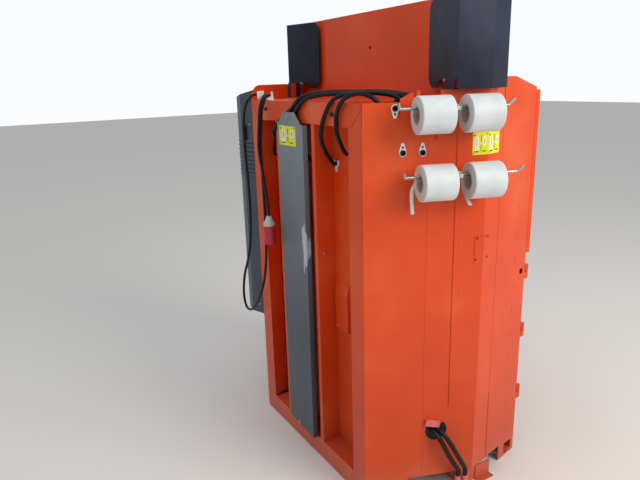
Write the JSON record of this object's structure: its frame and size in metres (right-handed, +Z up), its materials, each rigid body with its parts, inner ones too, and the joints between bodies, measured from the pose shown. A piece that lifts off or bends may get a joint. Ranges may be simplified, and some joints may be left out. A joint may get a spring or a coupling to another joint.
{
  "type": "vertical recycling baler",
  "caption": "Low upright baling press with two hydraulic cylinders, strap rolls, guide tubes and a side power cabinet, for pressing waste into strapped bales.",
  "frame": {"origin": "on the floor, under the cross beam in the middle of the base", "axes": "+Z up, +Y towards the flat back face, +X towards the side with the power cabinet"},
  "size_m": [1.6483, 0.994, 2],
  "materials": {
    "orange_paint": "satin",
    "dark_orange_paint": "satin",
    "black_paint": "satin",
    "grey_paint": "satin",
    "cabinet_paint": "satin",
    "bright_steel": "machined",
    "white_strap": "woven",
    "core_board": "matt",
    "white_metal": "satin",
    "black_rubber": "matt",
    "guide_plastic": "matt",
    "red_plastic": "glossy",
    "green_plastic": "glossy",
    "clamp_metal": "zinc"
  },
  "bodies": {
    "frame": {"base_frame": "orange_paint", "chamber_floor": "dark_orange_paint", "top_beam": "orange_paint", "back_wall": "orange_paint", "side_panel_near": "orange_paint", "side_panel_far": "orange_paint", "access_cover_near": "orange_paint", "access_cover_far": "orange_paint", "front_column_near": "orange_paint", "front_column_far": "orange_paint", "chamber_wall_near": "dark_orange_paint", "chamber_wall_far": "dark_orange_paint", "rear_deck": "orange_paint", "head_back_sheet": "orange_paint", "head_front_sheet": "orange_paint", "head_top_cover": "black_paint", "head_cover_near": "black_paint", "head_cover_far": "black_paint", "channel_cover": "grey_paint", "channel_pipe": "black_paint", "cylinder_near": "black_paint", "cylinder_far": "black_paint", "cylinder_pins": "bright_steel", "hinge_pins": "bright_steel", "small_plates": "orange_paint", "roll_rods": "bright_steel", "roll_brackets": "white_metal", "eyelet_plates": "white_metal", "eyelet_bushes": "black_rubber", "tube_fittings": "white_metal", "strap_tubes": "black_rubber", "cord_hook": "white_metal", "power_cord": "black_rubber", "power_plug": "red_plastic", "side_hoses": "black_rubber", "hose_clamp": "clamp_metal", "cabinet_shell": "cabinet_paint", "oil_tank": "black_paint", "pump_motor": "cabinet_paint", "control_panel": "grey_paint"},
    "press": {"crosshead": "dark_orange_paint", "platen": "dark_orange_paint", "guide_shoes": "guide_plastic", "piston_rod_near": "bright_steel", "piston_rod_far": "bright_steel"},
    "bale_door": {"bale_door": "orange_paint"},
    "lock_handle": {"lock_handle": "black_paint"},
    "lock_bar": {"lock_bar": "bright_steel"},
    "feed_door": {"feed_door": "orange_paint", "feed_handle": "black_paint"},
    "ejector": {"ejector": "bright_steel"},
    "cabinet_door": {"cabinet_door": "cabinet_paint"},
    "estop_button": {"estop_button": "red_plastic"},
    "start_button": {"start_button": "green_plastic"},
    "main_switch": {"main_switch": "red_plastic"},
    "roll_1": {"strap_roll_1": "white_strap"},
    "roll_2": {"strap_roll_2": "white_strap"},
    "roll_3": {"strap_roll_3": "white_strap"},
    "roll_4": {"strap_roll_4": "white_strap"}
  },
  "joints": [
    {"name": "press_stroke", "type": "slide", "parent": "frame", "child": "press", "axis": [0, 0, -1], "range_m": [0, 0.82]},
    {"name": "bale_door_hinge", "type": "hinge", "parent": "frame", "child": "bale_door", "pos_m": [-0.532, -0.395, 0.6], "axis": [0, 0, -1], "range_deg": [0, 110]},
    {"name": "lock_turn", "type": "hinge", "parent": "bale_door", "child": "lock_handle", "pos_m": [0.44, -0.43, 0.56], "axis": [0, 1, 0], "range_deg": [0, 90]},
    {"name": "lock_lift", "type": "slide", "parent": "bale_door", "child": "lock_bar", "axis": [0, 0, 1], "range_m": [0, 0.04]},
    {"name": "feed_door_hinge", "type": "hinge", "parent": "frame", "child": "feed_door", "pos_m": [0.561, -0.397, 1.3], "axis": [0, 0, 1], "range_deg": [0, 110]},
    {"name": "ejector_tip", "type": "hinge", "parent": "frame", "child": "ejector", "pos_m": [0, -0.34, 0.094], "axis": [1, 0, 0], "range_deg": [0, 25]},
    {"name": "cabinet_door_hinge", "type": "hinge", "parent": "frame", "child": "cabinet_door", "pos_m": [0.87644, 0.06099, 1], "axis": [0, 0, -1], "range_deg": [0, 110]},
    {"name": "estop_push", "type": "slide", "parent": "frame", "child": "estop_button", "axis": [-0.3449, 0.9386, 0], "range_m": [0, 0.004]},
    {"name": "start_push", "type": "slide", "parent": "frame", "child": "start_button", "axis": [-0.3449, 0.9386, 0], "range_m": [0, 0.003], "stiffness_N_per_m": 600},
    {"name": "switch_turn", "type": "hinge", "parent": "frame", "child": "main_switch", "pos_m": [0.73075, 0.02024, 1.44], "axis": [0.3449, -0.9386, 0], "range_deg": [0, 90]},
    {"name": "roll_1_turn", "type": "hinge", "parent": "frame", "child": "roll_1", "pos_m": [-0.59408, 0.29069, 1.5968], "axis": [-0.3449, -0.9386, 0], "continuous": true},
    {"name": "roll_2_turn", "type": "hinge", "parent": "frame", "child": "roll_2", "pos_m": [-0.65547, 0.12362, 1.5968], "axis": [-0.3449, -0.9386, 0], "continuous": true},
    {"name": "roll_3_turn", "type": "hinge", "parent": "frame", "child": "roll_3", "pos_m": [-0.5996, 0.27567, 1.3608], "axis": [-0.3449, -0.9386, 0], "range_deg": [-15, 5]},
    {"name": "roll_4_turn", "type": "hinge", "parent": "frame", "child": "roll_4", "pos_m": [-0.66203, 0.10578, 1.3608], "axis": [-0.3449, -0.9386, 0], "range_deg": [-15, 5]}
  ],
  "couplings": [
    {"joint": "lock_lift", "follows": "lock_turn", "m_per_rad": 0.025465}
  ]
}
